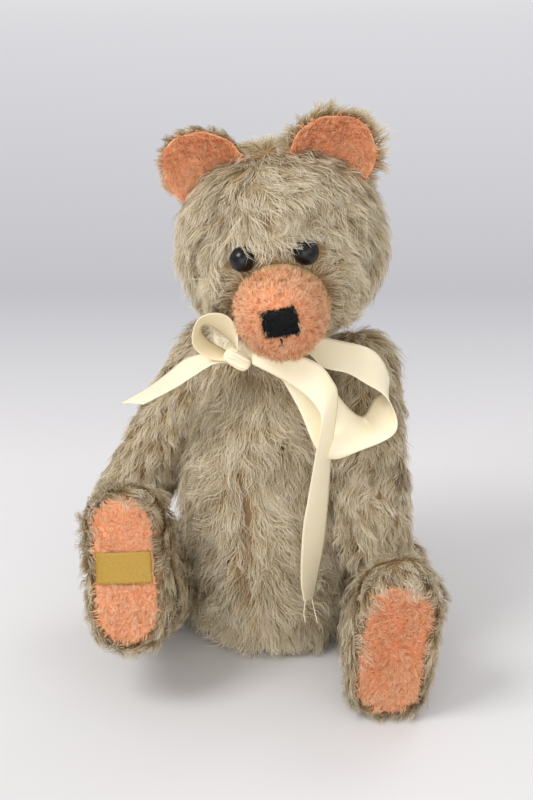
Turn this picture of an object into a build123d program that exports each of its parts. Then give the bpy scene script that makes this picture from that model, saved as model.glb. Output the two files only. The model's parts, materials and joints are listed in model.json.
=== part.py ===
from build123d import *
import os
from math import cos, hypot, radians, sin, sqrt

# A jointed plush bear, seated. Millimetres, +Z up, the bear faces -Y and its left side is +X.
# The origin is the middle of the flat seat under the torso.
# Five turning joints hold it together: neck, two shoulders and two hips. Each is a pair of
# hardboard discs with washers, drawn together by a split pin whose legs are curled over.

# ---- driving dimensions ----
skinWall = 1.5  # fur fabric and its backing
packGap = 0.3  # between a skin and its stuffing
jointGap = 0.6  # between the torso's skin and a limb's skin at a joint
touch = 0.05  # between pieces that lie on each other

torsoHeight = 222.0
seatRadius = 50.0  # corners of the torso's outline, before they are rounded
bellyRadius = 58.0
bellyLow = 60.0
chestRadius = 57.0
bellyHigh = 110.0
neckRadius = 32.0
neckSpot = (5.0, -1.0)  # the neck joint sits a little off the torso's middle

headMiddle = (7.0, -2.0, 279.2)
headRadius = 61.5
headTurn = 24.0  # towards the bear's left
headNod = 8.0  # face tipped down
headLean = -8.0  # rolled to the bear's right

muzzleSpot = (0.0, -34.0, -11.0)  # in the head's own frame
muzzleRadius = 31.0
muzzleTip = 27.0
muzzleReach = 58.0
muzzleRound = 22.0
muzzleDrop = 6.0  # degrees the muzzle points down
noseSize = (22.0, 40.0, 17.0)  # its depth only has to reach the muzzle
stitchSize = (1.6, 40.0, 9.0)
noseThick = 1.4
stitchThick = 0.9

eyeRadius = 8.0
eyeSunk = 3.0
eyeSpread = 18.8
eyeHeight = 18.5

earBowl = 42.0  # outer radius of the cupped ear
earRadius = 27.0
earLayer = 3.5
earPlace = 34.0  # degrees from the top of the head to each ear
earStand = 6.5

discThick = 2.5
washerRadius = 6.5
washerThick = 0.8
pinRadius = 1.5
pinSlip = 0.08
pinCurl = 2.4
neckDisc = 18.0
armDisc = 13.0
legDisc = 17.0

armReach = 127.0  # from the shoulder's middle to the paw's tip
armThick = 24.5
pawThick = 20.0
legReach = 124.0  # from the hip's middle to the sole
legThick = 31.0
ankleThick = 25.0
footLength = 102.0
footWidth = 50.0
footDeep = 34.0
soleRound = 7.0
padThick = 2.0
cardThick = 1.6

bowTurn = 26.0  # the bow looks this far to the bear's left
ribbonWidth = 22.0
ribbonThick = 1.2
knotMiddle = (-23.0, -47.0, 217.0)  # in the bow's frame, whose -Y looks out from the chest
knotSize = (20.0, 9.0, 13.0)
bandLow = 213.5  # the neck band's edges
bandHigh = 221.0
labelSize = (20.0, 30.0)
labelThick = 0.5

# side is +1 on the bear's left, around is how far back the joint looks, tilt how far it looks
# up, and swing how far the limb is turned forward from hanging straight down.
arms = {
    "left": dict(side=1, height=189.0, around=14.0, tilt=12.0, swing=22.0, depth=3.5),
    "right": dict(side=-1, height=171.0, around=20.0, tilt=13.0, swing=33.0, depth=4.0),
}
legs = {
    "left": dict(side=1, height=35.0, around=26.0, tilt=-6.0, swing=90.0, depth=6.0),
    "right": dict(side=-1, height=36.0, around=-19.0, tilt=-6.0, swing=110.0, depth=6.0),
}

os.makedirs("parts", exist_ok=True)


def write(shape, name):
    export_step(shape, "parts/" + name + ".step")


# ---- plain shapes ----
def drawnIn(corners, inset):
    """The (radius, height) corners of an outline whose edges all move in by inset."""
    lines = []
    for (r0, z0), (r1, z1) in zip(corners, corners[1:]):
        length = hypot(r1 - r0, z1 - z0)
        along = ((r1 - r0) / length, (z1 - z0) / length)
        lines.append(((r0 - along[1] * inset, z0 + along[0] * inset), along))
    lines = [((0, 0), (0, 1))] + lines + [((0, 0), (0, 1))]
    made = []
    for ((px, pz), (ax, az)), ((qx, qz), (bx, bz)) in zip(lines, lines[1:]):
        along = ((qx - px) * bz - (qz - pz) * bx) / (ax * bz - az * bx)
        made.append((px + along * ax, pz + along * az))
    return made


def turned(corners, rounds, inset):
    """A solid of revolution about Z through (radius, height) corners, drawn in by inset.

    The outline starts and ends on the axis, and rounds are the radii at the corners between.
    """
    drawn = drawnIn(corners, inset)
    right = FilletPolyline(*drawn, radius=[max(r - inset, 0.3) for r in rounds])
    outline = make_face(right + Line(drawn[-1], drawn[0]))
    return revolve(Plane.XZ * outline, Axis.Z)


def rod(radius, low, high):
    """A cylinder along Z between two heights."""
    return Pos(0, 0, (low + high) / 2) * Cylinder(radius, high - low)


def below(size=500.0):
    """A block that fills the side z < 0."""
    return Pos(0, 0, -size / 2) * Box(size, size, size)


# ---- where the joints are ----
def torsoRadiusAt(height):
    """The torso's radius between its corners, near enough for placing a joint."""
    corners = ((seatRadius, 0), (bellyRadius, bellyLow), (chestRadius, bellyHigh),
               (neckRadius, torsoHeight))
    for (r0, z0), (r1, z1) in zip(corners, corners[1:]):
        if z0 <= height <= z1:
            return r0 + (r1 - r0) * (height - z0) / (z1 - z0)
    return neckRadius


def jointFrame(side, height, around, tilt, depth, **more):
    """A joint's frame: its Z looks out of the torso, its Y is as near to up as it can be."""
    a, t = radians(around), radians(tilt)
    out = Vector(side * cos(a) * cos(t), sin(a) * cos(t), sin(t))
    reach = torsoRadiusAt(height) - depth
    spot = Vector(side * cos(a) * reach, sin(a) * reach, height)
    across = Vector(0, 0, 1).cross(out).normalized()
    return Plane(origin=spot, x_dir=across, z_dir=out).location


def limbFrame(side, swing, **more):
    """The joint's frame turned so that its X looks along the limb."""
    return jointFrame(side=side, **more) * Rot(0, 0, -90.0 - side * swing)


joints = {"neck": Pos(*neckSpot, torsoHeight)}
joints.update({k + "_arm": jointFrame(**v) for k, v in arms.items()})
joints.update({k + "_leg": jointFrame(**v) for k, v in legs.items()})
discRadius = {"neck": neckDisc, "left_arm": armDisc, "right_arm": armDisc,
              "left_leg": legDisc, "right_leg": legDisc}


# ---- joint hardware, each along its joint's own Z with the torso's skin ending at z = 0 ----
innerFace = -skinWall - touch  # where the body's disc starts, going inwards
outerFace = jointGap + skinWall + touch  # where the limb's disc starts, going outwards
bodyPocket = skinWall + discThick + washerThick + 2 * pinCurl + 5.0
limbPocket = outerFace + discThick + washerThick + 9.0


def bodyDisc(radius):
    return rod(radius, innerFace - discThick, innerFace) - rod(pinRadius + pinSlip, -20, 0)


def limbDisc(radius):
    return rod(radius, outerFace, outerFace + discThick) - rod(pinRadius + touch, 0, 20)


def bodyWasher():
    top = innerFace - discThick - touch
    return rod(washerRadius, top - washerThick, top) - rod(pinRadius + pinSlip, -20, 0)


def limbWasher():
    low = outerFace + discThick + touch
    return rod(washerRadius, low, low + washerThick) - rod(pinRadius + touch, 0, 20)


def splitPin():
    """An eye on the limb's side, a shank, and two legs curled over on the body's side."""
    top = outerFace + discThick + washerThick + 2 * touch
    low = innerFace - discThick - washerThick - 1.0
    pin = rod(pinRadius, low - 2, top + 1) + rod(pinRadius + 1.2, top, top + 1.6)
    pin += Pos(0, 0, top + 4.6) * Rot(90, 0, 0) * Torus(3.0, 1.0)
    for side in (-1, 1):
        pin += Pos(side * pinCurl, 0, low - 3.4) * Rot(90, 0, 0) * Torus(pinCurl, 0.9)
    return pin


# ---- torso ----
def torsoSolid(inset):
    """The torso drawn in by inset all over, cut flat at each joint."""
    corners = ((0, 0), (seatRadius, 0), (bellyRadius, bellyLow), (chestRadius, bellyHigh),
               (neckRadius, torsoHeight), (0, torsoHeight))
    solid = turned(corners, (24, 140, 220, 4), inset)
    for name, frame in joints.items():
        if name != "neck":
            solid -= frame * Pos(0, 0, -inset) * Rot(180, 0, 0) * below()
    return solid


def torso():
    shell = torsoSolid(0) - torsoSolid(skinWall)
    fill = torsoSolid(skinWall + packGap)
    for name, frame in joints.items():
        shell -= frame * rod(pinRadius + pinSlip, -6, 2)
        fill -= frame * rod(discRadius[name] + packGap, -bodyPocket, 1)
    write(shell, "torso_skin")
    write(fill, "torso_stuffing")


# ---- head ----
headFrame = Pos(*headMiddle) * Rot(0, 0, headTurn) * Rot(headNod, 0, 0) * Rot(0, headLean, 0)
muzzleFrame = headFrame * Pos(*muzzleSpot) * Rot(muzzleDrop, 0, 0)


def neckSide(inset):
    """Everything below the head's flat underside, which is drawn in by inset."""
    return Pos(0, 0, torsoHeight + jointGap + inset) * below()


def headBall(inset):
    return headFrame * Sphere(headRadius - inset)


def muzzleBall(inset):
    """A blunt cone that points along -Y, drawn in by inset but open at its back."""
    corners = ((0, -8), (muzzleRadius, -8), (muzzleTip, muzzleReach), (0, muzzleReach))
    return muzzleFrame * Rot(90, 0, 0) * turned(corners, (3, muzzleRound), inset)


def onHead(side, height):
    """A frame on the front of the head whose Z looks straight out of it."""
    deep = sqrt(headRadius**2 - side**2 - height**2)
    spot = Vector(side, -deep, height)
    return headFrame * Plane(origin=spot, z_dir=spot.normalized()).location


def eye(side):
    """A domed boot button with a shank sunk into the face, and the hole for the shank."""
    frame = onHead(side * eyeSpread, eyeHeight)
    button = Pos(0, 0, eyeRadius / 2 - eyeSunk) * Sphere(eyeRadius)
    solid = frame * button - headBall(-2 * touch)
    return solid + frame * rod(1.4, -7, 2), frame * rod(1.5, -8, 3)


def ear(side):
    """A cupped disc of two layers, sewn to the head along its lower edge."""
    frame = headFrame * Rot(0, side * earPlace, 0) * Pos(0, 6, headRadius + earStand) * Rot(0, 0, side * 12)
    cup = frame * Pos(0, 6 - earBowl, 0) * Rot(-90, 0, 0)
    rim = cup * rod(earRadius, 0, earBowl * 2)
    shells = [Sphere(earBowl - n * earLayer) for n in range(3)]
    clear = headBall(-packGap)
    back = (cup * (shells[0] - shells[1]) & rim) - clear
    front = (cup * (shells[1] - shells[2]) & rim) - clear
    return front, back


def head():
    eyes, holes = zip(*[eye(side) for side in (-1, 1)])
    outer = headBall(0) - neckSide(0)
    shell = outer - (headBall(skinWall) - neckSide(skinWall)) - muzzleBall(0)
    shell -= joints["neck"] * rod(pinRadius + touch, -2, 20)
    inset = skinWall + packGap
    fill = headBall(inset) + muzzleBall(inset) - neckSide(inset)
    fill -= joints["neck"] * rod(neckDisc + packGap, -5, limbPocket)
    for hole in holes:
        shell -= hole
        fill -= hole
    snout = muzzleBall(0) - muzzleBall(skinWall) - headBall(0)
    write(shell, "head_skin")
    write(fill, "head_stuffing")
    write(snout, "muzzle")
    for side, name, button in zip((-1, 1), ("right", "left"), eyes):
        front, back = ear(side)
        write(button, name + "_eye")
        write(front, name + "_ear_front")
        write(back, name + "_ear_back")


def face():
    """The felt nose and the stitch below it, both lying on the muzzle."""
    tip = muzzleFrame * Pos(0, -muzzleReach, 0)
    felt = muzzleBall(-noseThick) - muzzleBall(-touch)
    write(felt & tip * Pos(1, 0, 9) * Rot(0, 8, 0) * Box(*noseSize), "nose")
    thread = muzzleBall(-stitchThick) - muzzleBall(-touch)
    write(thread & tip * Pos(0, 0, -5) * Box(*stitchSize), "mouth_stitch")


# ---- arms and legs, along X from the joint, with the torso's skin ending at z = 0 ----
def restingHeight(thick, disc):
    """How far out a limb's middle lies when its side is cut flat, just wide enough for its disc."""
    return sqrt(thick**2 - (disc + 2.5) ** 2) + jointGap


def alongX(middle, shape):
    """A shape turned about Z laid along X, so far out from the joint."""
    return Pos(0, 0, middle) * Rot(0, 90, 0) * shape


def armSolid(frame, inset):
    """A tapering arm with a round shoulder and paw, cut flat where it meets the joint."""
    middle = restingHeight(armThick, armDisc)
    corners = ((0, -armThick), (armThick, -armThick), (armThick, 20), (pawThick, armReach),
               (0, armReach))
    solid = alongX(middle, turned(corners, (armThick - 3, 60, pawThick - 3), inset))
    return frame * (solid - Pos(0, 0, jointGap + inset) * below())


def soleFace(inset):
    """The sole's outline, a long oval, in the XY plane with its length along Y."""
    return Rot(0, 0, 90) * SlotOverall(footLength - 2 * inset, footWidth - 2 * inset)


def legSolid(frame, side, inset):
    """A leg that runs into an upright foot with a flat sole, cut flat at the joint."""
    middle = restingHeight(legThick, legDisc)
    corners = ((0, -legThick), (legThick, -legThick), (legThick, 20), (ankleThick, legReach - 12),
               (0, legReach - 12))
    shank = alongX(middle, turned(corners, (legThick - 3, 60, 3), inset))
    foot = extrude(soleFace(inset), amount=footDeep - 2 * inset)
    back = foot.faces().sort_by(Axis.Z)[0]
    front = foot.faces().sort_by(Axis.Z)[-1]
    foot = fillet(back.edges(), 16 - inset)
    foot = fillet(foot.faces().sort_by(Axis.Z)[-1].edges(), soleRound - inset)
    foot = soleFrame(side) * Pos(0, 0, inset - footDeep) * foot
    return frame * (shank + foot - Pos(0, 0, jointGap + inset) * below())


def soleFrame(side):
    """The middle of the sole, in the limb's frame, with Z looking out of it."""
    middle = restingHeight(legThick, legDisc)
    rise = -side * (footLength / 2 - legThick)
    return Pos(legReach, rise, middle) * Rot(0, 90, 0) * Rot(0, 0, 90) * Rot(0, 0, 90)


def arm(name, where):
    frame = limbFrame(**where)
    bore = frame * rod(pinRadius + touch, -2, 12)
    fill = armSolid(frame, skinWall + packGap)
    fill -= frame * rod(armDisc + packGap, 0, limbPocket)
    write(armSolid(frame, 0) - armSolid(frame, skinWall) - bore, name + "_arm_skin")
    write(fill, name + "_arm_stuffing")


def leg(name, where):
    frame = limbFrame(**where)
    side = where["side"]
    bore = frame * rod(pinRadius + touch, -2, 12)
    fill = legSolid(frame, side, skinWall + packGap)
    fill -= frame * rod(legDisc + packGap, 0, limbPocket)
    sole = frame * soleFrame(side)
    card = sole * Pos(0, 0, -skinWall - touch - cardThick) * extrude(soleFace(9), cardThick)
    fill -= sole * Pos(0, 0, -skinWall - cardThick - packGap) * extrude(soleFace(8.5), 10)
    write(legSolid(frame, side, 0) - legSolid(frame, side, skinWall) - bore, name + "_leg_skin")
    write(fill, name + "_leg_stuffing")
    write(card, name + "_insole")
    pad = fillet((extrude(soleFace(5), padThick)).faces().sort_by(Axis.Z)[-1].edges(), 1.2)
    write(sole * Pos(0, 0, touch) * pad, name + "_foot_pad")


# ---- ribbon, in the bow's frame ----
bowFrame = Rot(0, 0, bowTurn)


def ribbonRun(start, end, face, wide=ribbonWidth):
    """One flat run of ribbon between two points, its broad side turned towards face."""
    a, b = Vector(*start), Vector(*end)
    along = (b - a).normalized()
    side = along.cross(Vector(*face)).normalized()
    frame = Plane(origin=(a + b) / 2, x_dir=along, z_dir=side.cross(along) * -1).location
    return frame * Box((b - a).length + ribbonThick, wide, ribbonThick)


def ribbonRuns(points, face, wide=ribbonWidth):
    runs = [ribbonRun(a, b, face, wide) for a, b in zip(points, points[1:])]
    return runs[0] + runs[1:]


def ribbonLoop(points, wide):
    """A closed loop of ribbon whose width lies along Y."""
    runs = []
    for (ax, az), (bx, bz), y in points:
        start, end = (ax, y, az), (bx, y, bz)
        runs.append(ribbonRun(start, end, (az - bz, 0, bx - ax), wide))
    return runs[0] + runs[1:]


def closed(corners, y):
    """The sides of a closed outline of (x, z) corners, all at one y."""
    return [(a, b, y) for a, b in zip(corners, corners[1:] + corners[:1])]


def bow():
    """Neck band, knot, two loops and two tails of one satin ribbon."""
    slope = (chestRadius - neckRadius) / (torsoHeight - bellyHigh)
    low = chestRadius - slope * (bandLow - bellyHigh) + packGap
    high = chestRadius - slope * (bandHigh - bellyHigh) + packGap
    outer = ribbonThick + packGap
    side = Polyline((low, bandLow), (low + outer, bandLow), (high + outer, bandHigh),
                    (high, bandHigh), close=True)
    knot = fillet(Box(*knotSize).edges(), 3)
    leftLoop = ((-35, 221), (-27, 243), (-38, 248), (-47, 240), (-48, 226), (-41, 216))
    rightLoop = ((6, 219), (28, 225), (58, 222), (80, 190), (74, 170), (40, 160), (8, 208))
    write(revolve(Plane.XZ * make_face(side), Axis.Z), "ribbon_neck_band")
    write(bowFrame * Pos(*knotMiddle) * knot, "ribbon_knot")
    write(bowFrame * ribbonLoop(closed(list(leftLoop), -52), 14), "ribbon_small_loop")
    write(bowFrame * ribbonLoop(closed(list(rightLoop), -60), 12), "ribbon_large_loop")
    tail = ribbonRuns([(-54, -46, 213), (-93, -40, 184)], (0, -0.5, 1))
    write(bowFrame * tail, "ribbon_short_tail")
    tail = ribbonRuns([(-12, -57, 206), (33, -84, 160), (29, -76, 110), (29, -70, 56)], (0, -1, 0))
    write(bowFrame * tail, "ribbon_long_tail")


def label():
    """A blank woven label across the right foot's pad."""
    where = legs["right"]
    sole = limbFrame(**where) * soleFrame(where["side"])
    strip = Box(labelSize[1], labelSize[0], labelThick)
    low = padThick + 2 * touch + labelThick / 2
    write(sole * Pos(0, 0, low) * Rot(0, 0, 90) * strip, "woven_label")


def pawPad(name, where):
    """A thin patch on the paw's inner side."""
    frame = limbFrame(**where)
    middle = restingHeight(armThick, armDisc)
    spot = Pos(armReach - pawThick, 0, middle)
    patch = Sphere(pawThick + 0.9) - Sphere(pawThick + touch)
    patch &= Pos(0, 0, -pawThick) * Box(22, 22, pawThick)
    clear = armSolid(frame, -touch)
    write(frame * spot * patch - clear, name + "_paw_pad")


def hardware():
    washers = []
    for name, frame in joints.items():
        radius = discRadius[name]
        write(frame * bodyDisc(radius), name + "_body_disc")
        write(frame * limbDisc(radius), name + "_disc")
        write(frame * limbWasher(), name + "_washer")
        write(frame * splitPin(), name + "_split_pin")
        washers.append(frame * bodyWasher())
    write(Compound(children=washers), "body_washers")


torso()
head()
face()
for name, where in arms.items():
    arm(name, where)
    pawPad(name, where)
for name, where in legs.items():
    leg(name, where)
label()
bow()
hardware()
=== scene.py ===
import json
from math import cos, pi, radians, sin

import bmesh
import bpy
import numpy as np
from mathutils import Matrix, Vector, kdtree

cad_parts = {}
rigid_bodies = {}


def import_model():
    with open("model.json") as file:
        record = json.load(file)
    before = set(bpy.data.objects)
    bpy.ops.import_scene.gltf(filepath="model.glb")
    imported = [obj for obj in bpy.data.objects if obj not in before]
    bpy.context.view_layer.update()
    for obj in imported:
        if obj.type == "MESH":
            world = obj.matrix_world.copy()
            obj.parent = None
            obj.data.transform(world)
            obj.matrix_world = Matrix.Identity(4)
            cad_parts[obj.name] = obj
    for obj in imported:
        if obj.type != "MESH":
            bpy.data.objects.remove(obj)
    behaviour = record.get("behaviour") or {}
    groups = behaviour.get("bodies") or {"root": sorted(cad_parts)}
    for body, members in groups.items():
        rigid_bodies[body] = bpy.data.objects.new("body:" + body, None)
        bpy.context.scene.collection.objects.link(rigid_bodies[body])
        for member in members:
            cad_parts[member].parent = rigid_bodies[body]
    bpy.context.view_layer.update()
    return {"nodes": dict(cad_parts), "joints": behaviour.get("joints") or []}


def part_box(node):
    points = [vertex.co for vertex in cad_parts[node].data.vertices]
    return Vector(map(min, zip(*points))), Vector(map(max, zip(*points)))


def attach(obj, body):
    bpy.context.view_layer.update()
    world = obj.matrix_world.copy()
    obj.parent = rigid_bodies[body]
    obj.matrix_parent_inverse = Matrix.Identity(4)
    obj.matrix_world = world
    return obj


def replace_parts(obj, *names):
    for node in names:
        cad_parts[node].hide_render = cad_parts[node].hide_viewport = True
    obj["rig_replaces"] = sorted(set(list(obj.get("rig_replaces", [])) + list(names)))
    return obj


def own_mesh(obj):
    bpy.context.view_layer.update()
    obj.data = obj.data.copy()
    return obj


# A seated jointed bear in wavy mohair with apricot plush muzzle, ears and soles and a satin bow.
# Metres, +Z up, the bear faces -Y. Soft covers follow the solids' outlines and carry real strands.

for old in list(bpy.data.objects):
    bpy.data.objects.remove(old)

camera = {
    "place": (0.4605, -0.9443, 0.6377),
    "target": (0, 0, 0.170),
    "lens": 78.3,
    "shift": (-0.008, -0.006),
}


def makeCamera(c):
    bpy.ops.object.camera_add(location=c["place"])
    made = bpy.context.object
    made.rotation_euler = (Vector(c["target"]) - Vector(c["place"])).to_track_quat("-Z", "Y").to_euler()
    made.data.lens = c["lens"]
    made.data.shift_x, made.data.shift_y = c["shift"]
    bpy.context.scene.camera = made


makeCamera(camera)
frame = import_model()
nodes = frame["nodes"]
hinge = {j["child"]: Vector(j["pos_m"]) for j in frame["joints"]}
print("frame loaded")


def tint(code):  # a hex colour as linear light
    parts = [int(code[i:i + 2], 16) / 255 for i in (1, 3, 5)]
    return [p / 12.92 if p <= 0.04045 else ((p + 0.055) / 1.055) ** 2.4 for p in parts] + [1.0]


def select(obj):
    bpy.ops.object.select_all(action="DESELECT")
    obj.select_set(True)
    bpy.context.view_layer.objects.active = obj


def apply(obj, kind, **values):
    select(obj)
    modifier = obj.modifiers.new(kind, kind)
    for name, value in values.items():
        setattr(modifier, name, value)
    bpy.ops.object.modifier_apply(modifier=modifier.name)


def shadeSmooth(obj):
    select(obj)
    bpy.ops.object.shade_smooth()


def give(obj, made, body, slot, *stoodFor):  # finish, body to ride on, slot (not used), solids it stands for
    obj.data.materials.clear()
    obj.data.materials.append(made)
    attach(obj, body)
    if stoodFor:
        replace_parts(obj, *stoodFor)


def coords(mesh):
    got = np.empty(len(mesh.vertices) * 3)
    mesh.vertices.foreach_get("co", got)
    return got.reshape(-1, 3)


def unit(v):
    return v / np.maximum(np.linalg.norm(v, axis=-1, keepdims=True), 1e-9)


def middle(name):
    lo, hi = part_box(name)
    return (lo + hi) / 2


def meshObject(name, points, faces):
    mesh = bpy.data.meshes.new(name)
    mesh.from_pydata(points, [], faces)
    mesh.update()
    obj = bpy.data.objects.new(name, mesh)
    bpy.context.scene.collection.objects.link(obj)
    return obj


def ball(name, around, rings):  # a unit ball whose points always come in the same order
    down = pi * np.arange(1, rings)[:, None] / rings
    aside = 2 * pi * np.arange(around)[None] / around
    grid = np.stack([np.sin(down) * np.cos(aside), np.sin(down) * np.sin(aside), np.cos(down) + 0 * aside], 2)
    top, low = around * (rings - 1), around * (rings - 2)
    faces = []
    for c in range(around):
        d = (c + 1) % around
        faces += [(top, c, d), (top + 1, low + d, low + c)]
        for r in range(0, low, around):
            faces.append((r + c, r + around + c, r + around + d, r + d))
    return meshObject(name, grid.reshape(-1, 3).tolist() + [[0, 0, 1], [0, 0, -1]], faces)


def newGroup(name, ins, outs):
    group = bpy.data.node_groups.new(name, "ShaderNodeTree")
    for label, kind, value in ins:
        socket = group.interface.new_socket(label, in_out="INPUT", socket_type=kind)
        if value is not None:
            socket.default_value = value
    for label, kind in outs:
        group.interface.new_socket(label, in_out="OUTPUT", socket_type=kind)
    return group, group.nodes.new("NodeGroupInput"), group.nodes.new("NodeGroupOutput")


def makeMottle():  # two colours mixed by soft noise on the piece's own coordinates
    group, took, gave = newGroup(
        "mottle",
        [("Dark", "NodeSocketColor", (0.2, 0.2, 0.2, 1)), ("Light", "NodeSocketColor", (0.5, 0.5, 0.5, 1)),
         ("Grain", "NodeSocketFloat", 200.0), ("Stretch", "NodeSocketVector", (1, 1, 1))],
        [("Color", "NodeSocketColor"), ("Value", "NodeSocketFloat")],
    )
    where = group.nodes.new("ShaderNodeTexCoord")
    scale = group.nodes.new("ShaderNodeVectorMath")
    scale.operation = "MULTIPLY"
    noise = group.nodes.new("ShaderNodeTexNoise")
    noise.inputs["Detail"].default_value = 5.0
    mix = group.nodes.new("ShaderNodeMix")
    mix.data_type = "RGBA"
    link = group.links.new
    link(where.outputs["Object"], scale.inputs[0])
    link(took.outputs["Stretch"], scale.inputs[1])
    link(scale.outputs[0], noise.inputs["Vector"])
    link(took.outputs["Grain"], noise.inputs["Scale"])
    link(noise.outputs[0], mix.inputs["Factor"])
    link(took.outputs["Dark"], mix.inputs[6])
    link(took.outputs["Light"], mix.inputs[7])
    link(mix.outputs[2], gave.inputs["Color"])
    link(noise.outputs[0], gave.inputs["Value"])
    return group


def makeStrandShade():  # root, middle and tip colours along a strand, with painted shade at the darker root and a painted highlight at the paler tip, dimmed towards a painted shadow colour by its lock's tone
    group, took, gave = newGroup(
        "strandShade",
        [("Root", "NodeSocketColor", (0.1, 0.1, 0.1, 1)), ("Middle", "NodeSocketColor", (0.3, 0.3, 0.3, 1)),
         ("TipHighlight", "NodeSocketColor", (0.6, 0.6, 0.6, 1)), ("Shadow", "NodeSocketColor", (0.1, 0.1, 0.1, 1))],
        [("Color", "NodeSocketColor")],
    )
    along = group.nodes.new("ShaderNodeAttribute")
    along.attribute_name = "along"
    tone = group.nodes.new("ShaderNodeAttribute")
    tone.attribute_name = "tone"
    low = group.nodes.new("ShaderNodeMapRange")
    low.inputs["From Max"].default_value = 0.45
    high = group.nodes.new("ShaderNodeMapRange")
    high.inputs["From Min"].default_value = 0.4
    dim = group.nodes.new("ShaderNodeMapRange")
    dim.inputs["From Max"].default_value = 0.55
    dim.inputs["To Min"].default_value = 0.75
    dim.inputs["To Max"].default_value = 0.0
    mixes = []
    for _ in range(3):
        mix = group.nodes.new("ShaderNodeMix")
        mix.data_type = "RGBA"
        mixes.append(mix)
    link = group.links.new
    link(along.outputs["Fac"], low.inputs["Value"])
    link(along.outputs["Fac"], high.inputs["Value"])
    link(tone.outputs["Fac"], dim.inputs["Value"])
    link(low.outputs[0], mixes[0].inputs["Factor"])
    link(took.outputs["Root"], mixes[0].inputs[6])
    link(took.outputs["Middle"], mixes[0].inputs[7])
    link(high.outputs[0], mixes[1].inputs["Factor"])
    link(mixes[0].outputs[2], mixes[1].inputs[6])
    link(took.outputs["TipHighlight"], mixes[1].inputs[7])
    link(dim.outputs[0], mixes[2].inputs["Factor"])
    link(mixes[1].outputs[2], mixes[2].inputs[6])
    link(took.outputs["Shadow"], mixes[2].inputs[7])
    link(mixes[2].outputs[2], gave.inputs["Color"])
    return group


mottle, strandShade = makeMottle(), makeStrandShade()


def material(name, dark, light, grain, rough, stretch=(1, 1, 1), bump=0.0, **sockets):
    made = bpy.data.materials.new(name)
    made.use_nodes = True
    tree = made.node_tree
    shader = tree.nodes["Principled BSDF"]
    shader.inputs["Base Color"].default_value = tint(light)
    shader.inputs["Roughness"].default_value = rough
    for label, value in sockets.items():
        shader.inputs[label.replace("_", " ")].default_value = value
    made.diffuse_color = tint(light)
    node = tree.nodes.new("ShaderNodeGroup")
    node.node_tree = mottle
    node.inputs["Dark"].default_value = tint(dark)
    node.inputs["Light"].default_value = tint(light)
    node.inputs["Grain"].default_value = grain
    node.inputs["Stretch"].default_value = stretch
    tree.links.new(node.outputs["Color"], shader.inputs["Base Color"])
    if bump:
        relief = tree.nodes.new("ShaderNodeBump")
        relief.inputs["Strength"].default_value = 0.6
        relief.inputs["Distance"].default_value = bump
        tree.links.new(node.outputs["Value"], relief.inputs["Height"])
        tree.links.new(relief.outputs[0], shader.inputs["Normal"])
    return made


def furMaterial(name, root, body, tip, shadow, rough=0.62, glow=0.25):
    made = bpy.data.materials.new(name)
    made.use_nodes = True
    tree = made.node_tree
    shader = tree.nodes["Principled BSDF"]
    shader.inputs["Base Color"].default_value = tint(body)
    shader.inputs["Roughness"].default_value = rough
    shader.inputs["Specular IOR Level"].default_value = 0.35
    made.diffuse_color = tint(body)
    node = tree.nodes.new("ShaderNodeGroup")
    node.node_tree = strandShade
    for label, code in (("Root", root), ("Middle", body), ("TipHighlight", tip), ("Shadow", shadow)):
        node.inputs[label].default_value = tint(code)
    through = tree.nodes.new("ShaderNodeBsdfTranslucent")
    mix = tree.nodes.new("ShaderNodeMixShader")
    mix.inputs[0].default_value = glow
    tree.links.new(node.outputs["Color"], shader.inputs["Base Color"])
    tree.links.new(node.outputs["Color"], through.inputs["Color"])
    tree.links.new(shader.outputs[0], mix.inputs[1])
    tree.links.new(through.outputs[0], mix.inputs[2])
    tree.links.new(mix.outputs[0], tree.nodes["Material Output"].inputs["Surface"])
    return made


finish = {
    "mohair": material("mohair_backing", "#6E5A40", "#A88A62", 160, 0.95, bump=0.0006),
    "apricot_plush": material("apricot_backing", "#F0A87C", "#FABE94", 260, 0.95, bump=0.0005),
    "wood_wool": material("wood_wool_strands", "#9C7B45", "#D8BC84", 120, 0.9, (1, 1, 6), 0.0015),
    "hardboard": material("hardboard_face", "#6B4A2C", "#8A6540", 500, 0.8, bump=0.0002),
    "card": material("grey_card", "#A89C86", "#C4B8A0", 300, 0.9, bump=0.0002),
    "steel": material("dull_steel", "#8C8C8A", "#B4B4B0", 400, 0.35, Metallic=1.0),
    "boot_button": material("black_boot_button", "#020202", "#050505", 90, 0.22, Specular_IOR_Level=0.4),
    "black_felt": material("black_felt_cloth", "#0A0A0B", "#1B1B1E", 900, 0.95, bump=0.0004),
    "black_thread": material("black_thread_cotton", "#0C0B0C", "#18171A", 900, 0.7),
    "gold_weave": material("gold_woven_label", "#8A6A1E", "#C29A3C", 700, 0.6, (1, 1, 3), 0.0002),
    "cream_satin": material("cream_satin_ribbon", "#F3E5BE", "#FAEFD2", 60, 0.27, (1, 1, 1), 0.0,
                            Anisotropic=0.5, Specular_IOR_Level=0.6),
}
# in each fur the first colour darkens the roots as painted shade, the third lightens the tips as a painted
# highlight, and the last is a painted shadow colour
mohairFur = furMaterial("mohair_fur", "#B8925C", "#D2C19C", "#FBF3E0", "#907C58", glow=0.3)
apricotFur = furMaterial("apricot_pile", "#F3B27C", "#FBC798", "#FFE6C8", "#EDA974", rough=0.9, glow=0.4)
blackFur = furMaterial("black_fuzz", "#060606", "#101012", "#26262A", "#040404", rough=0.9, glow=0.05)


skins = {
    "cell": 0.004,
    "lumps": 0.0011,
    "lumpSize": 0.028,
    "smoothing": 6,
    "bore": 0.0045,
    "torsoFill": 0.8,
    "headFill": 0.9,
    "limbFill": 0.75,
}
lumpy = bpy.data.textures.new("stuffing_lumps", "CLOUDS")
lumpy.noise_scale = skins["lumpSize"]


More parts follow.
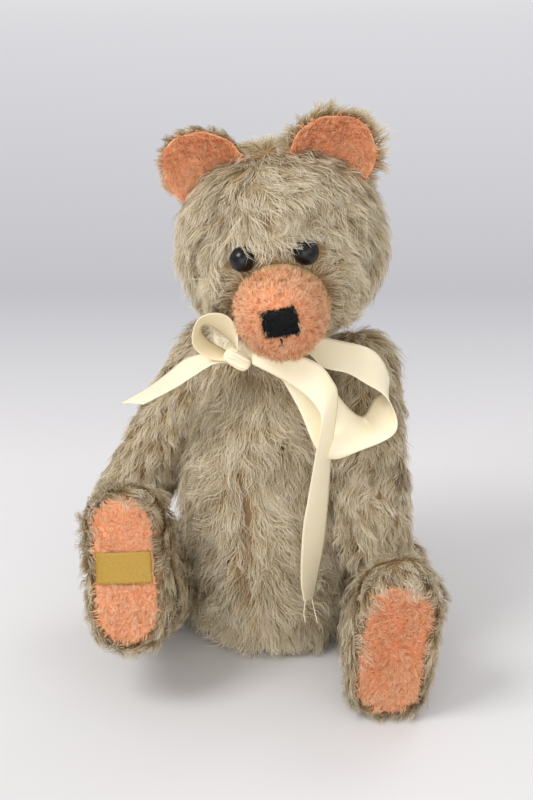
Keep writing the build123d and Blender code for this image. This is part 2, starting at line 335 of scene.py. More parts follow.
def copied(node, name):
    obj = bpy.data.objects.new(name, nodes[node].data.copy())
    bpy.context.scene.collection.objects.link(obj)
    select(obj)
    bpy.ops.object.mode_set(mode="EDIT")
    bpy.ops.mesh.select_all(action="SELECT")
    bpy.ops.mesh.remove_doubles(threshold=0.00002)
    bpy.ops.object.mode_set(mode="OBJECT")
    return obj


def hulled(node, name):  # the closed outside of a convex piece
    obj = copied(node, name)
    bpy.ops.object.mode_set(mode="EDIT")
    bpy.ops.mesh.select_all(action="SELECT")
    bpy.ops.mesh.convex_hull()
    bpy.ops.object.mode_set(mode="OBJECT")
    return obj


def outside(node, name, axisAt, reach):  # a hollow piece's outer surface, cut free at its joint's bore
    obj = copied(node, name)
    work = bmesh.new()
    work.from_mesh(obj.data)
    near = [f for f in work.faces if (f.calc_center_median() - axisAt).length < reach]
    bmesh.ops.delete(work, geom=near, context="FACES")
    left, groups = set(work.faces), []
    while left:
        stack = [left.pop()]
        found = [stack[0]]
        while stack:
            for edge in stack.pop().edges:
                for face in edge.link_faces:
                    if face in left:
                        left.discard(face)
                        stack.append(face)
                        found.append(face)
        groups.append(found)
    groups.sort(key=lambda g: -sum(f.calc_area() for f in g))
    drop = [f for g in groups[1:] for f in g]
    bmesh.ops.delete(work, geom=drop, context="FACES")
    bmesh.ops.holes_fill(work, edges=[e for e in work.edges if e.is_boundary], sides=0)
    work.to_mesh(obj.data)
    work.free()
    return obj


def soften(obj, cell, lumps, rounds):
    apply(obj, "REMESH", mode="VOXEL", voxel_size=cell)
    apply(obj, "SMOOTH", factor=0.5, iterations=rounds)
    if lumps:
        apply(obj, "DISPLACE", texture=lumpy, texture_coords="GLOBAL", strength=lumps, mid_level=0.75)
    shadeSmooth(obj)
    return obj


def makeSkin(body, shape):
    obj = soften(shape, skins["cell"], skins["lumps"], skins["smoothing"])
    obj.data.name = body + "_cover"
    give(obj, finish["mohair"], body, "mohair", body + "_skin")
    return obj


def hullSkin(body):
    return makeSkin(body, hulled(body + "_skin", body + "_cover"))


torso = hullSkin("torso")
head = hullSkin("head")
arms, legs = {}, {}
for side in ("left", "right"):
    arms[side] = hullSkin(side + "_arm")
    limb = side + "_leg"
    shape = outside(limb + "_skin", limb + "_cover", hinge[limb], skins["bore"])
    legs[side] = makeSkin(limb, shape)
print("skins made")


def turn(axis, angle):
    return Matrix.Rotation(radians(angle), 4, axis)


def shift(x, y, z):
    return Matrix.Translation((x, y, z))


headPlace = {"middle": (0.007, -0.002, 0.2792), "radius": 0.0615, "turn": 24, "nod": 8, "lean": -8}
face = {
    "muzzle": (0, -0.034, -0.011),
    "muzzleNod": 6,
    "muzzleMiddle": (0, -0.02, 0),
    "muzzleSize": 0.90,
    "nose": (0.001, -0.058, 0.009),
    "noseLean": 12,
}
headFrame = (shift(*headPlace["middle"]) @ turn("Z", headPlace["turn"]) @ turn("X", headPlace["nod"])
             @ turn("Y", headPlace["lean"]))
muzzleFrame = headFrame @ shift(*face["muzzle"]) @ turn("X", face["muzzleNod"])
headMiddle = np.array(headPlace["middle"])
noseSpot = np.array(muzzleFrame @ Vector(face["nose"]))
muzzleSpot = np.array(muzzleFrame @ Vector(face["muzzleMiddle"]))
faceWay = np.array(muzzleFrame.to_3x3() @ Vector((0, -1, 0)))
headUp = np.array(headFrame.to_3x3() @ Vector((0, 0, 1)))
headSide = np.array(headFrame.to_3x3() @ Vector((1, 0, 0)))
eyeSpots = [np.array(middle(n)) for n in ("left_eye", "right_eye")]
ears = {
    "radius": 0.0275,
    "bowl": 0.0385,
    "sink": 0.036,
    "plump": 0.0042,
    "waver": 0.02,
    "ripple": 0.0008,
    "tilt": 34,
    "toe": 12,
    "back": 0.006,
    "rise": 0.0065,
    "mohairFrom": 0.25,
}


def earFrameOf(sign):
    e = ears
    stand = shift(0, e["back"], headPlace["radius"] + e["rise"])
    return headFrame @ turn("Y", sign * e["tilt"]) @ stand @ turn("Z", sign * e["toe"])


def makeEar(side, sign):
    e = ears
    obj = ball(side + "_ear_cover", 48, 24)
    p = coords(obj.data)
    across, up, thick = p[:, 0], p[:, 1], p[:, 2]
    r = np.hypot(across, up)
    around = np.arctan2(up, across)
    radius = e["radius"] * (1 + e["waver"] * np.sin(5 * around + sign))
    x, z = across * radius, up * radius
    cup = np.sqrt(e["bowl"] ** 2 - np.minimum(x ** 2 + z ** 2, 0.9 * e["bowl"] ** 2)) - e["sink"]
    y = cup - thick * e["plump"] + e["ripple"] * np.sin(9 * around) * r ** 3
    frameNow = np.array(earFrameOf(sign))
    made = np.stack([x, y, z], 1) @ frameNow[:3, :3].T + frameNow[:3, 3]
    obj.data.vertices.foreach_set("co", made.ravel())
    obj.data.update()
    shadeSmooth(obj)
    give(obj, finish["apricot_plush"], "head", "apricot_plush", side + "_ear_front", side + "_ear_back")
    obj.data.materials.append(finish["mohair"])
    back = frameNow[:3, 1]
    for face in obj.data.polygons:
        if np.dot(face.normal, back) > e["mohairFrom"]:
            face.material_index = 1
    return obj, frameNow


earPieces = {side: makeEar(side, sign) for side, sign in (("left", 1), ("right", -1))}
pads = {
    "muzzle": {"cell": 0.003, "lumps": 0.0006, "fill": 0.85, "rounds": 4},
    "nose": {"cell": 0.0012, "lumps": 0, "fill": 0.5, "rounds": 3},
    "stitch": {"cell": 0.0007, "lumps": 0, "fill": 0.5, "rounds": 1},
    "sole": {"cell": 0.002, "lumps": 0.0004, "fill": 0.5, "rounds": 4},
    "palm": {"cell": 0.0015, "lumps": 0, "fill": 0.5, "rounds": 4},
}


def makePad(node, name, body, kind, slot="apricot_plush"):
    pad = pads[kind]
    obj = soften(hulled(node, name), pad["cell"], pad["lumps"], pad["rounds"])
    give(obj, finish[slot], body, slot, node)
    return obj


def about(spot, change):  # a change made about a spot
    return shift(*spot) @ change @ shift(*-spot)


muzzle = makePad("muzzle", "muzzle_cover", "head", "muzzle")
muzzle.data.transform(about(noseSpot, Matrix.Scale(face["muzzleSize"], 4)))
nose = makePad("nose", "felt_nose", "head", "nose", "black_felt")
nose.data.transform(about(noseSpot, Matrix.Rotation(radians(face["noseLean"]), 4, Vector(faceWay))))
makePad("mouth_stitch", "mouth_thread", "head", "stitch", "black_thread")
feet = {s: makePad(s + "_foot_pad", s + "_sole_pad", s + "_leg", "sole") for s in arms}
for s in arms:
    makePad(s + "_paw_pad", s + "_palm_pad", s + "_arm", "palm")
print("face and pads made")


def sampled(skin, count, rng):  # points and smooth normals spread evenly over a mesh
    mesh = skin.data
    mesh.calc_loop_triangles()
    corners = np.empty(len(mesh.loop_triangles) * 3, int)
    mesh.loop_triangles.foreach_get("vertices", corners)
    corners = corners.reshape(-1, 3)
    p = coords(mesh)
    n = np.empty(len(mesh.vertices) * 3)
    mesh.vertices.foreach_get("normal", n)
    n = n.reshape(-1, 3)
    a, b, c = p[corners[:, 0]], p[corners[:, 1]], p[corners[:, 2]]
    area = np.linalg.norm(np.cross(b - a, c - a), axis=1)
    chosen = rng.choice(len(area), count, p=area / area.sum())
    u, v = rng.random((2, count))
    flip = u + v > 1
    u[flip], v[flip] = 1 - u[flip], 1 - v[flip]
    w = np.stack([1 - u - v, u, v], 1)[:, :, None]
    picked = corners[chosen]
    return (p[picked] * w).sum(1), unit((n[picked] * w).sum(1))


def strandMesh(name, paths, sides, widths, normals, tones):  # a flat tapering strip for each path
    count, steps = paths.shape[:2]
    half = sides * widths[..., None] / 2
    left, right = paths[:, :-1] - half[:, :-1], paths[:, :-1] + half[:, :-1]
    pairs = np.stack([left, right], 2).reshape(count, -1, 3)
    verts = np.concatenate([pairs, paths[:, -1:]], 1)
    per = verts.shape[1]
    faces = [[2 * k, 2 * k + 1, 2 * k + 3, 2 * k + 2] for k in range(steps - 2)]
    last = 2 * (steps - 2)
    pattern = [i for f in faces for i in f] + [last, last + 1, per - 1]
    sizes = [4] * len(faces) + [3]
    base = np.arange(count)[:, None] * per
    loops = (np.array(pattern)[None] + base).ravel()
    lengths = np.tile(sizes, count)
    mesh = bpy.data.meshes.new(name)
    mesh.vertices.add(count * per)
    mesh.vertices.foreach_set("co", verts.ravel())
    mesh.loops.add(len(loops))
    mesh.loops.foreach_set("vertex_index", loops)
    mesh.polygons.add(len(lengths))
    mesh.polygons.foreach_set("loop_start", np.concatenate([[0], np.cumsum(lengths)[:-1]]))
    mesh.update(calc_edges=True)
    along = np.concatenate([np.repeat(np.linspace(0, 1, steps)[:-1], 2), [1.0]])
    for label, values in (("along", np.tile(along, count)), ("tone", np.repeat(tones, per))):
        mesh.attributes.new(label, "FLOAT", "POINT").data.foreach_set("value", values)
    mesh.polygons.foreach_set("use_smooth", np.ones(len(lengths), bool))
    flat = np.repeat(normals, per, axis=0)
    mesh.normals_split_custom_set_from_vertices(flat.tolist())
    obj = bpy.data.objects.new(name, mesh)
    bpy.context.scene.collection.objects.link(obj)
    return obj


def nearestOf(root, seeds):  # for each root, which of the seed roots is nearest
    tree = kdtree.KDTree(len(seeds))
    for i, s in enumerate(seeds):
        tree.insert(root[s], i)
    tree.balance()
    return np.array([tree.find(p)[1] for p in root])


def swirls(spot):  # slow swings of direction from place to place
    first, second = np.sin(spot @ [95, 30, 60] + 1), np.sin(spot @ [-40, 80, 110])
    return first + second + np.sin(spot @ [150, -60, -35] + 2)


def patches(spot):  # slow swings of tone from place to place
    return 0.12 * (np.sin(spot @ [120, 70, -90]) + np.sin(spot @ [-60, 140, 75] + 1))


def grow(name, skin, body, count, hair, comb, keep, made, seed, slot="mohair"):
    rng = np.random.default_rng(seed)
    root, normal = sampled(skin, count, rng)
    length = keep(root, normal)  # each root's share of the full length
    live = length > hair["shortest"]
    root, normal, length = root[live], normal[live], length[live]
    count = len(root)
    lockCount = max(8, int(count / hair["perLock"]))
    seeds = rng.choice(count, lockCount, replace=False)
    lock = nearestOf(root, seeds)
    way = comb(root, normal)  # the way the pile is brushed
    way = unit(way - (way * normal).sum(1, keepdims=True) * normal)
    cross = np.cross(normal, way)
    lockTurn = rng.normal(0, hair["stray"], lockCount)
    spot = root[seeds][lock]
    turnBy = lockTurn[lock] + rng.normal(0, hair["fuzz"], count) + hair["swirl"] * swirls(spot) / 2
    way = unit(way * np.cos(turnBy)[:, None] + cross * np.sin(turnBy)[:, None])
    cross = np.cross(normal, way)
    lockLong = rng.uniform(0.75, 1.2, lockCount)
    size = hair["length"] * length * lockLong[lock] * rng.uniform(0.8, 1.1, count)
    lift = hair["lift"] * rng.uniform(0.5, 1.6, lockCount)[lock] * rng.uniform(0.7, 1.3, count)
    phase = rng.uniform(0, 2 * pi, lockCount)[lock] + rng.normal(0, 0.5, count)
    waves = rng.uniform(0.7, 1.3, lockCount)[lock] * hair["waves"]
    steps = hair["steps"]
    s = np.linspace(0, 1, steps)[None, :, None]
    long = size[:, None, None]
    rise = lift[:, None, None] * long * (1 - (1 - s) ** 1.7)  # up from the skin, then hugging it
    rise = rise - hair["hug"] * (long * s) ** 2
    sway = hair["curl"] * long * s * np.sin(2 * pi * waves[:, None, None] * s + phase[:, None, None])
    bob = 0.5 * hair["curl"] * long * s * np.cos(2 * pi * waves[:, None, None] * s + phase[:, None, None])
    path = root[:, None] + way[:, None] * long * s + normal[:, None] * (rise + bob) + cross[:, None] * sway
    guide = path[seeds][lock] - root[seeds][lock][:, None]  # a lock's strands gather on its guide
    offset = (root - root[seeds][lock])[:, None]
    pull = hair["clump"] * s ** 0.8
    scaled = guide * (size / size[seeds][lock])[:, None, None]
    gathered = root[seeds][lock][:, None] + scaled + offset * (1 - 0.8 * s)
    path = path * (1 - pull) + gathered * pull
    path[..., 2] -= hair["droop"] * (long * s ** 2)[..., 0]
    path[..., 2] = np.maximum(path[..., 2], hair["overFloor"])
    tangent = unit(np.gradient(path, axis=1))
    facing = unit(normal[:, None] + 0.5 * rng.normal(0, 1, (count, 1, 3)))
    sides = unit(np.cross(tangent, facing))
    outward = np.sign((np.cross(sides[:, 1], tangent[:, 1]) * normal).sum(1))
    sides = sides * outward[:, None, None]
    taper = np.interp(np.linspace(0, 1, steps), [0, 0.3, 0.8, 1], [0.8, 1, 0.7, 0])
    widths = hair["width"] * taper[None] * rng.uniform(0.7, 1.2, (count, 1))
    tones = rng.uniform(0.2, 1, lockCount)[lock] + patches(spot) + rng.normal(0, 0.15, count)
    bent = unit(np.cross(sides[:, 1], tangent[:, 1]))
    obj = strandMesh(name, path, sides, widths, unit(normal + bent * hair["relief"]), np.clip(tones, 0, 1))
    give(obj, made, body, slot)
    print(name, count)


bodyHair = {
    "length": 0.020,
    "width": 0.00038,
    "lift": 0.30,
    "curl": 0.13,
    "waves": 1.25,
    "clump": 0.5,
    "stray": 0.36,
    "fuzz": 0.2,
    "perLock": 15,
    "hug": 4.0,
    "droop": 0.10,
    "swirl": 0.40,
    "relief": 1.0,
    "steps": 5,
    "shortest": 0.05,
    "overFloor": 0.0004,
}
headHair = dict(bodyHair, length=0.019, lift=0.26, hug=5.0, stray=0.34, droop=0.08)
limbHair = dict(bodyHair, length=0.016, lift=0.30, hug=9.0)
pile = dict(bodyHair, length=0.0042, width=0.00040, lift=0.8, curl=0.15, clump=0.4, stray=0.9, fuzz=0.7,
            perLock=9, hug=0.0, droop=0.0, swirl=0.8, relief=0.25, steps=3)

density = 1.0
label = {
    "width": 0.020,
    "long": 0.036,
    "thick": 0.0005,
    "along": 0.002,
    "lift": 0.0042,
    "sag": 5.4,
}


def strands(count):
    return int(count * density)


def clearOf(p, spot, reach, soft=0.005):  # 0 within reach of a spot, rising to 1 over soft
    return np.clip((np.linalg.norm(p - spot, axis=1) - reach) / soft, 0, 1)


jointAxis = {j["child"]: np.array(j["axis"], float) for j in frame["joints"]}
bareFlat = {
    "depth": 0.005,
    "head": 0.024,
    "arm": 0.021,
    "leg": 0.026,
    "neck": 0.05,
    "armSide": 0.03,
    "legSide": 0.027,
}


def faceAway(p, body, reach):  # 0 on the flat round a joint
    axis = jointAxis[body]
    off = p - np.array(hinge[body])
    out = (off * axis).sum(1)
    across = np.linalg.norm(off - out[:, None] * axis, axis=1)
    return np.where((np.abs(out) < bareFlat["depth"]) & (across < reach), 0.0, 1.0)


parting = {
    "across": 0.006,
    "slant": 0.10,
    "middle": 0.12,
    "soft": 0.012,
    "bare": 0.003,
    "low": 0.05,
    "high": 0.15,
}
torsoPile = {"seat": 0.004, "neck": 0.205, "neckShare": 0.7, "leftPull": 0.75, "back": -0.15}


def fromParting(p):  # how far aside a point lies from the belly's slanting parting
    return p[:, 0] - parting["across"] - parting["slant"] * (parting["middle"] - p[:, 2])


def torsoComb(p, n):
    aside = np.tanh(fromParting(p) / parting["soft"])
    front = np.clip(-n[:, 1], 0, 1)
    way = np.zeros_like(p)
    way[:, 2] = -1
    way[:, 0] = np.where(aside > 0, 1.0, torsoPile["leftPull"]) * aside * front
    way[:, 1] = torsoPile["back"]
    return way


def torsoKeep(p, n):
    share = np.ones(len(p))
    for body in jointAxis:
        share *= faceAway(p, body, bareFlat[body.split("_")[-1]])
    share *= np.where(p[:, 2] < torsoPile["seat"], 0.0, 1.0)
    front = (n[:, 1] < -0.3) & (p[:, 2] > parting["low"]) & (p[:, 2] < parting["high"])
    share *= np.where(front & (np.abs(fromParting(p)) < parting["bare"]), 0.0, 1.0)
    share *= np.where(p[:, 2] > torsoPile["neck"], torsoPile["neckShare"], 1.0)
    return share


headPile = {
    "ringFrom": 0.028,
    "ringSoft": 0.03,
    "ringPull": 1.2,
    "sweep": 0.9,
    "crown": 0.05,
    "crownAside": 0.022,
    "crownSoft": 0.015,
    "cheek": 0.5,
    "cheekDrop": 0.03,
    "forward": 0.25,
    "underShare": 0.35,
    "muzzleBare": 0.026,
    "muzzleShort": 0.034,
    "muzzleShare": 0.6,
    "eyeBare": 0.0095,
    "eyeShort": 0.018,
    "eyeShare": 0.5,
}


def headComb(p, n):
    h = headPile
    fromNose = p - muzzleSpot
    fromNose = fromNose - (fromNose @ faceWay)[:, None] * faceWay
    away = np.linalg.norm(fromNose, axis=1)
    near = np.clip(1 - (away - h["ringFrom"]) / h["ringSoft"], 0, 1)[:, None]
    front = np.clip(n @ faceWay, 0, 1)[:, None]
    across = (p - headMiddle) @ headSide
    high = (p - headMiddle) @ headUp
    crown = np.clip(0.3 + high / h["crown"], 0, 1) * h["sweep"]
    sweep = crown * np.tanh((across + h["crownAside"]) / h["crownSoft"])
    low = np.clip(-high / h["cheekDrop"], 0, 1) * np.sign(across) * h["cheek"]
    fall = -headUp + (sweep + low)[:, None] * headSide * front + faceWay * h["forward"] * front
    return fall * (1 - near * front) + unit(fromNose) * h["ringPull"] * near * front


def headKeep(p, n):
    h = headPile
    share = faceAway(p, "head", bareFlat["neck"])
    share *= np.where((n[:, 2] < -0.75), h["underShare"], 1.0)
    off = p - np.array(muzzleFrame.translation)
    out = off @ faceWay
    wide = np.linalg.norm(off - out[:, None] * faceWay, axis=1)
    share *= np.where((out > -0.01) & (wide < h["muzzleBare"]), 0.0, 1.0)
    share *= np.where((out > 0) & (wide < h["muzzleShort"]), h["muzzleShare"], 1.0)
    for spot in eyeSpots:
        gap = np.linalg.norm(p - spot, axis=1)
        share *= np.where(gap < h["eyeBare"], 0.0, np.where(gap < h["eyeShort"], h["eyeShare"], 1.0))
    return share


for i in range(3):
    grow(f"torso_fur_{i}", torso, "torso", strands(26000), bodyHair, torsoComb, torsoKeep, mohairFur, 11 + i)
for i in range(2):
    grow(f"head_fur_{i}", head, "head", strands(26000), headHair, headComb, headKeep, mohairFur, 21 + i)

armPile = {"fall": np.array([0, 0, -0.35]), "padReach": 0.010}


def armFur(side, seed):
    limb = side + "_arm"
    palm = np.array(middle(side + "_paw_pad"))
    along = unit(np.array(middle(side + "_paw_pad")) - np.array(hinge[limb]))

    def comb(p, n):
        return along[None] + armPile["fall"][None] + 0 * p

    def keep(p, n):
        return faceAway(p, limb, bareFlat["armSide"]) * clearOf(p, palm, armPile["padReach"])

    grow(limb + "_fur", arms[side], limb, strands(20000), limbHair, comb, keep, mohairFur, seed)


for number, side in enumerate(("left", "right")):
    armFur(side, 31 + number)


def soleOf(side):  # the middle of the sole, the way it looks, and its own upward direction
    p = coords(nodes[side + "_foot_pad"].data)
    centre = (p.min(0) + p.max(0)) / 2
    spread = np.linalg.eigh(np.cov((p - p.mean(0)).T))[1]
    look, up = spread[:, 0], spread[:, 2]
    look = look * np.sign(look @ (centre - np.array(hinge[side + "_leg"])))
    return p.mean(0), look, up * np.sign(up[2])


legPile = {
    "fall": np.array([0, 0, -0.2]),
    "forward": 0.8,
    "outward": 0.9,
    "fade": 0.03,
    "soleHalf": 0.0215,
    "soleStraight": 0.026,
    "soleDepth": -0.004,
}


def legFur(side, seed):
    limb = side + "_leg"
    centre, look, up = soleOf(side)
    across = np.cross(look, up)
    g = legPile

    def comb(p, n):
        off = p - centre
        flat = off - (off @ look)[:, None] * look
        ahead = np.clip(1 + (off @ look) / g["fade"], 0, 1)[:, None]
        return look * g["forward"] + unit(flat) * g["outward"] * ahead + g["fall"]

    def keep(p, n):
        off = p - centre
        x, z, out = off @ across, off @ up, off @ look
        rounded = np.sign(z) * np.maximum(np.abs(z) - g["soleStraight"], 0)
        oval = np.hypot(x / g["soleHalf"], rounded / g["soleHalf"])
        share = np.where((out > g["soleDepth"]) & (oval < 1.0), 0.0, 1.0)
        return share * faceAway(p, limb, bareFlat["legSide"])

    grow(limb + "_fur", legs[side], limb, strands(24000), limbHair, comb, keep, mohairFur, seed)

    def padComb(p, n):
        return (p - centre) + up * 0.004

    def padKeep(p, n):
        fromLabel = np.abs((p - centre) @ up - label["along"])
        onLabel = (side == "right") & (fromLabel < label["width"] / 2 - 0.001)
        return np.where(n @ look > 0.1, 1.0, 0.0) * np.where(onLabel, 0.0, 1.0)

    grow(side + "_sole_pile", feet[side], limb, strands(15000), pile, padComb, padKeep, apricotFur,
         seed + 10, "apricot_plush")
    return centre, look, up


soles = {side: legFur(side, 41 + i) for i, side in enumerate(("left", "right"))}
muzzlePile = dict(pile, length=0.0038)
nosePile = dict(pile, length=0.0016, width=0.0003)
earFurLength = {"left": 0.014, "right": 0.008}
noseReach, noseSoft = 0.0085, 0.002


def muzzleComb(p, n):
    return (p - noseSpot) + np.array([0, 0, -0.004])


def muzzleKeep(p, n):
    inHead = np.linalg.norm(p - headMiddle, axis=1) < headPlace["radius"] - 0.001
    return np.where(inHead, 0.0, 1.0) * clearOf(p, noseSpot, noseReach, noseSoft)


grow("muzzle_pile", muzzle, "head", strands(24000), muzzlePile, muzzleComb, muzzleKeep, apricotFur,
     61, "apricot_plush")
grow("nose_fuzz", nose, "head", strands(3500), nosePile, lambda p, n: p - muzzleSpot,
     lambda p, n: np.where(n @ faceWay > 0, 1.0, 0.0), blackFur, 62, "black_felt")

for side, (ear, placed) in earPieces.items():
    back, up, centre = placed[:3, 1], placed[:3, 2], placed[:3, 3]
    earHair = dict(limbHair, length=earFurLength[side], lift=0.35, hug=0.0, droop=0.0)
    grow(side + "_ear_pile", ear, "head", strands(10000), pile, lambda p, n: p - centre,
         lambda p, n: np.where(n @ back < 0.05, 1.0, 0.0), apricotFur, 63, "apricot_plush")
    grow(side + "_ear_fur", ear, "head", strands(6000), earHair, lambda p, n: (p - centre) + up * 0.02,
         lambda p, n: np.where(n @ back > 0.4, 1.0, 0.0), mohairFur, 65)
print("fur grown")

# each ribbon piece lies between two rails, in millimetres in the bow's own frame
ribbon = {
    "turn": 26,
    "width": 0.022,
    "thick": 0.0004,
    "cupping": 0.0006,
    "threadRadius": 0.00035,
}
bowFrame = turn("Z", ribbon["turn"]) @ Matrix.Scale(0.001, 4)


def rail(points, count):  # a smooth curve through points, evenly stepped, in metres
    p = np.array(points, float)
    ext = np.vstack([2 * p[0] - p[1], p, 2 * p[-1] - p[-2]])
    t = np.linspace(0, len(p) - 1, count)
    i = np.minimum(t.astype(int), len(p) - 2)
    f = (t - i)[:, None]
    a, b, c, d = ext[i], ext[i + 1], ext[i + 2], ext[i + 3]
    bend = (2 * a - 5 * b + 4 * c - d) * f ** 2 + (3 * b - a - 3 * c + d) * f ** 3
    m = np.array(bowFrame)
    return 0.5 * (2 * b + (c - a) * f + bend) @ m[:3, :3].T + m[:3, 3]


def strip(name, node, first, second, steps=96, wide=10):  # cloth between two rails
    a, b = rail(first, steps), rail(second, steps)
    v = np.linspace(0, 1, wide + 1)
    grid = a[:, None] * (1 - v)[None, :, None] + b[:, None] * v[None, :, None]
    along = unit(np.gradient((a + b) / 2, axis=0))
    out = unit(np.cross(along, b - a))
    grid += (ribbon["cupping"] * (4 * v * (1 - v) - 0.5))[None, :, None] * out[:, None]
    obj = gridObject(name, grid)
    give(obj, finish["cream_satin"], "torso", "cream_satin", node)
    apply(obj, "SOLIDIFY", thickness=ribbon["thick"], offset=0.0)
    shadeSmooth(obj)
    return obj


def gridObject(name, grid, closed=False):
    rows, cols = grid.shape[:2]
    last = rows if closed else rows - 1
    faces = [(r * cols + c, r * cols + c + 1, (r + 1) % rows * cols + c + 1, (r + 1) % rows * cols + c)
             for r in range(last) for c in range(cols - 1)]
    return meshObject(name, grid.reshape(-1, 3).tolist(), faces)


largeLoop = strip(
    "bow_large_loop", "ribbon_large_loop",
    [(-14, -58, 225), (11, -52, 232), (22, -50, 233), (39, -48, 229), (62, -48, 222), (72, -46, 206),
     (72, -46, 194), (64, -50, 190), (57, -58, 182), (49, -64, 188), (42, -66, 197), (34, -64, 209),
     (20, -62, 218), (1, -60, 225), (-13, -58, 225)],
    [(-13, -60, 219), (17, -64, 228), (31, -66, 218), (46, -66, 214), (58, -67, 207), (67, -69, 202),
     (73, -72, 195), (77, -74, 183), (72, -78, 176), (54, -80, 168), (38, -80, 162), (27, -78, 168),
     (15, -72, 195), (-1, -64, 218), (-14, -58, 218)])
longTail = strip(
    "bow_long_tail", "ribbon_long_tail",
    [(-13, -63, 219), (6, -74, 213), (21, -84, 206), (29, -89, 197), (29, -91, 186), (27, -91, 174),
     (22, -90, 139), (19, -89, 117), (18, -87, 82), (20, -85, 63)],
    [(-12, -63, 228), (10, -72, 230), (27, -78, 226), (36, -80, 216), (40, -79, 203), (37, -75, 167),
     (35, -73, 126), (33, -72, 97), (29, -71, 71), (27, -70, 57)])
strip(
    "bow_small_loop", "ribbon_small_loop",
    [(-22, -62, 227), (-22, -64, 241), (-27, -66, 251), (-36, -67, 254), (-45, -67, 250), (-49, -67, 239),
     (-47, -66, 230), (-38, -64, 223), (-27, -62, 221)],
    [(-22, -46, 221), (-28, -45, 228), (-35, -46, 235), (-40, -47, 238), (-44, -48, 238), (-44, -48, 234),
     (-40, -48, 229), (-34, -48, 225), (-24, -48, 219)])
shortTail = strip(
    "bow_short_tail", "ribbon_short_tail",
    [(-29, -52, 222), (-38, -48, 221), (-46, -44, 218), (-56, -38, 212), (-67, -34, 201), (-79, -30, 190),
     (-99, -26, 176)],
    [(-28, -60, 219), (-36, -64, 220), (-43, -64, 216), (-52, -62, 209), (-61, -60, 202), (-73, -57, 194),
     (-82, -50, 186)])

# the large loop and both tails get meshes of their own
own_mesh(largeLoop)
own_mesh(longTail)
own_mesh(shortTail)

knot = {"middle": (-22, -60, 221), "size": (18, 8, 12), "lean": 34, "folds": 0.15}


def makeKnot(k):
    obj = ball("bow_knot", 48, 32)
    p = coords(obj.data)
    box = np.sign(p) * np.abs(p) ** 0.75
    fold = 1 + k["folds"] * np.sin(9 * np.arctan2(p[:, 2], p[:, 1]) + 3 * p[:, 0]) * (1 - p[:, 0] ** 2)
    pinch = 0.78 + 0.22 * (p[:, 0] ** 2)
    shape = box * np.array(k["size"]) / 2
    shape[:, 1:] *= (fold * pinch)[:, None]
    m = np.array(bowFrame @ Matrix.Translation(k["middle"]) @ turn("Y", k["lean"]))
    obj.data.vertices.foreach_set("co", (shape @ m[:3, :3].T + m[:3, 3]).ravel())
    obj.data.update()
    shadeSmooth(obj)
    give(obj, finish["cream_satin"], "torso", "cream_satin", "ribbon_knot")
makeKnot(knot)

band = {"radius": 0.0395, "taper": 0.003, "low": 0.2120, "wide": 0.010, "round": 0.24, "steps": 72}


def makeBand(b):  # the ribbon's turn round the neck
    angle = np.linspace(0, 2 * pi, b["steps"], endpoint=False)
    v = np.linspace(0, 1, 5)
    radius = b["radius"] - b["taper"] * v
    height = b["low"] + b["wide"] * v
    grid = np.stack([np.cos(angle)[:, None] * radius, np.sin(angle)[:, None] * radius,
                     np.ones(b["steps"])[:, None] * height], 2)
    obj = gridObject("bow_neck_band", grid, closed=True)
    give(obj, finish["cream_satin"], "torso", "cream_satin", "ribbon_neck_band")
    apply(obj, "SOLIDIFY", thickness=ribbon["thick"], offset=0.0)
    shadeSmooth(obj)


makeBand(band)


def makeFray(name, points):
    p = rail(points, 12)
    bpy.ops.curve.primitive_bezier_curve_add()
    obj = bpy.context.object
    obj.name = name
    obj.data.splines.clear()
    spline = obj.data.splines.new("POLY")
    spline.points.add(len(p) - 1)
    for point, place in zip(spline.points, p):
        point.co = (*place, 1)
    obj.data.bevel_depth = ribbon["threadRadius"]
    obj.data.bevel_resolution = 1
    obj.data.use_fill_caps = True
    bpy.ops.object.convert(target="MESH")
    give(bpy.context.object, finish["cream_satin"], "torso", "cream_satin")


makeFray("bow_thread_0", [(21, -84, 64), (20, -84, 54), (21, -84, 47)])
makeFray("bow_thread_1", [(25, -76, 61), (27, -76, 51), (29, -76, 42)])


def makeLabel(l):
    centre, look, up = soles["right"]
    across = np.cross(look, up)
    u = np.linspace(-0.5, 0.5, 24) * l["long"]
    v = np.linspace(-0.5, 0.5, 12) * l["width"] + l["along"]
    bulge = look * (l["lift"] - l["sag"] * u[:, None, None] ** 2)
    grid = centre + across * u[:, None, None] + up * v[None, :, None] + bulge
    obj = gridObject("sole_label", grid)
    give(obj, finish["gold_weave"], "right_leg", "gold_weave", "woven_label")
    apply(obj, "SOLIDIFY", thickness=l["thick"], offset=0.0)
    shadeSmooth(obj)


makeLabel(label)
print("ribbon and label made")

# the solids that stay in view take the finishes above
for node in nodes.values():
    for slot in node.material_slots:
        name = slot.material.name.split(".")[0]
        if name in finish:
            slot.material = finish[name]
stoodFor = {n for o in bpy.context.scene.objects if "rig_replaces" in o for n in o["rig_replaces"]}
for name in stoodFor:
    nodes[name].hide_render = True

studio = {
    # floor colours by distance behind the bear: painted shade from about 0.3 m, painted light towards 2 m
    "floor": [(0.24, "#D8D6D6"), (0.31, "#C2C2C6"), (0.65, "#B6B6BA"), (2.0, "#EAEAEC")],
    "reach": 2.5,
    "azimuth": 26,
    "sky": "#E8E8EA",
    "skyStrength": 0.88,
    "aim": (0, 0, 0.18),
}


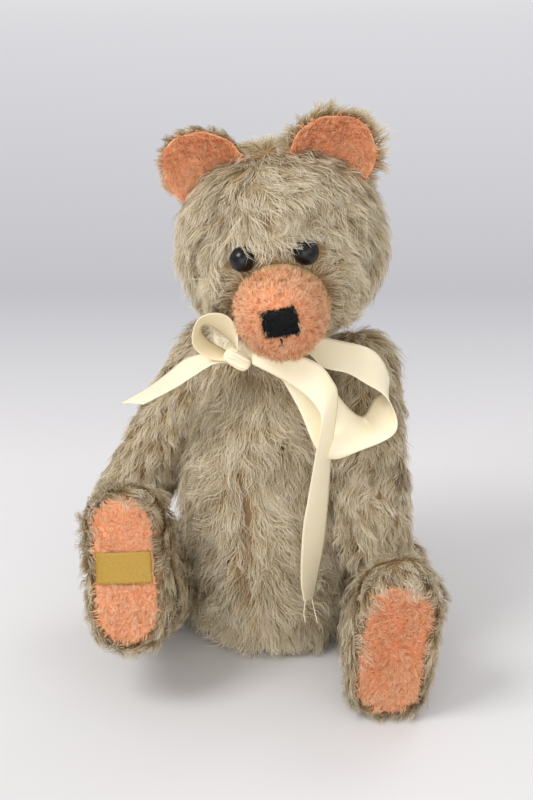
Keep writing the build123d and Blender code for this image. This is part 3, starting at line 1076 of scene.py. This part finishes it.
def makeFloor(s):  # painted shade and light: its tone darkens in a band behind the bear and lightens far back, standing in for how light falls on a bent backdrop
    bpy.ops.mesh.primitive_plane_add(size=60, location=(0, 0, -0.0002))
    floor = bpy.context.object
    floor.name = "studio_floor"
    made = bpy.data.materials.new("floor_painted_backdrop_light")
    made.use_nodes = True
    tree = made.node_tree
    shader = tree.nodes["Principled BSDF"]
    shader.inputs["Roughness"].default_value = 0.8
    shader.inputs["Specular IOR Level"].default_value = 0.1
    where = tree.nodes.new("ShaderNodeTexCoord")
    ahead = tree.nodes.new("ShaderNodeVectorMath")
    ahead.operation = "DOT_PRODUCT"
    away = radians(s["azimuth"])
    ahead.inputs[1].default_value = (-sin(away) / s["reach"], cos(away) / s["reach"], 0)
    ramp = tree.nodes.new("ShaderNodeValToRGB")
    stops = ramp.color_ramp.elements
    for (distance, code), stop in zip(s["floor"], [stops[0], stops[1], stops.new(0.5), stops.new(0.9)]):
        stop.position = distance / s["reach"]
        stop.color = tint(code)
    tree.links.new(where.outputs["Object"], ahead.inputs[0])
    tree.links.new(ahead.outputs["Value"], ramp.inputs["Fac"])
    tree.links.new(ramp.outputs["Color"], shader.inputs["Base Color"])
    floor.data.materials.append(made)


makeFloor(studio)
world = bpy.data.worlds.new("studio")
bpy.context.scene.world = world
world.use_nodes = True
world.node_tree.nodes["Background"].inputs["Color"].default_value = tint(studio["sky"])
world.node_tree.nodes["Background"].inputs["Strength"].default_value = studio["skyStrength"]

lamps = {
    "key": {"place": (-0.75, -1.3, 1.9), "size": 0.9, "watts": 28},
    "fill": {"place": (1.5, -0.9, 1.1), "size": 1.2, "watts": 4},
    "back": {"place": (0.3, 1.2, 1.5), "size": 0.8, "watts": 6},
    "low": {"place": (0.5, -1.5, 0.35), "size": 1.2, "watts": 7},
}
for name, lamp in lamps.items():
    bpy.ops.object.light_add(type="AREA", location=lamp["place"])
    light = bpy.context.object
    light.name = name + "_light"
    light.data.size = lamp["size"]
    light.data.energy = lamp["watts"]
    light.rotation_euler = (Vector(studio["aim"]) - Vector(lamp["place"])).to_track_quat("-Z", "Y").to_euler()
bpy.context.scene.view_settings.view_transform = "Standard"
print("studio made")
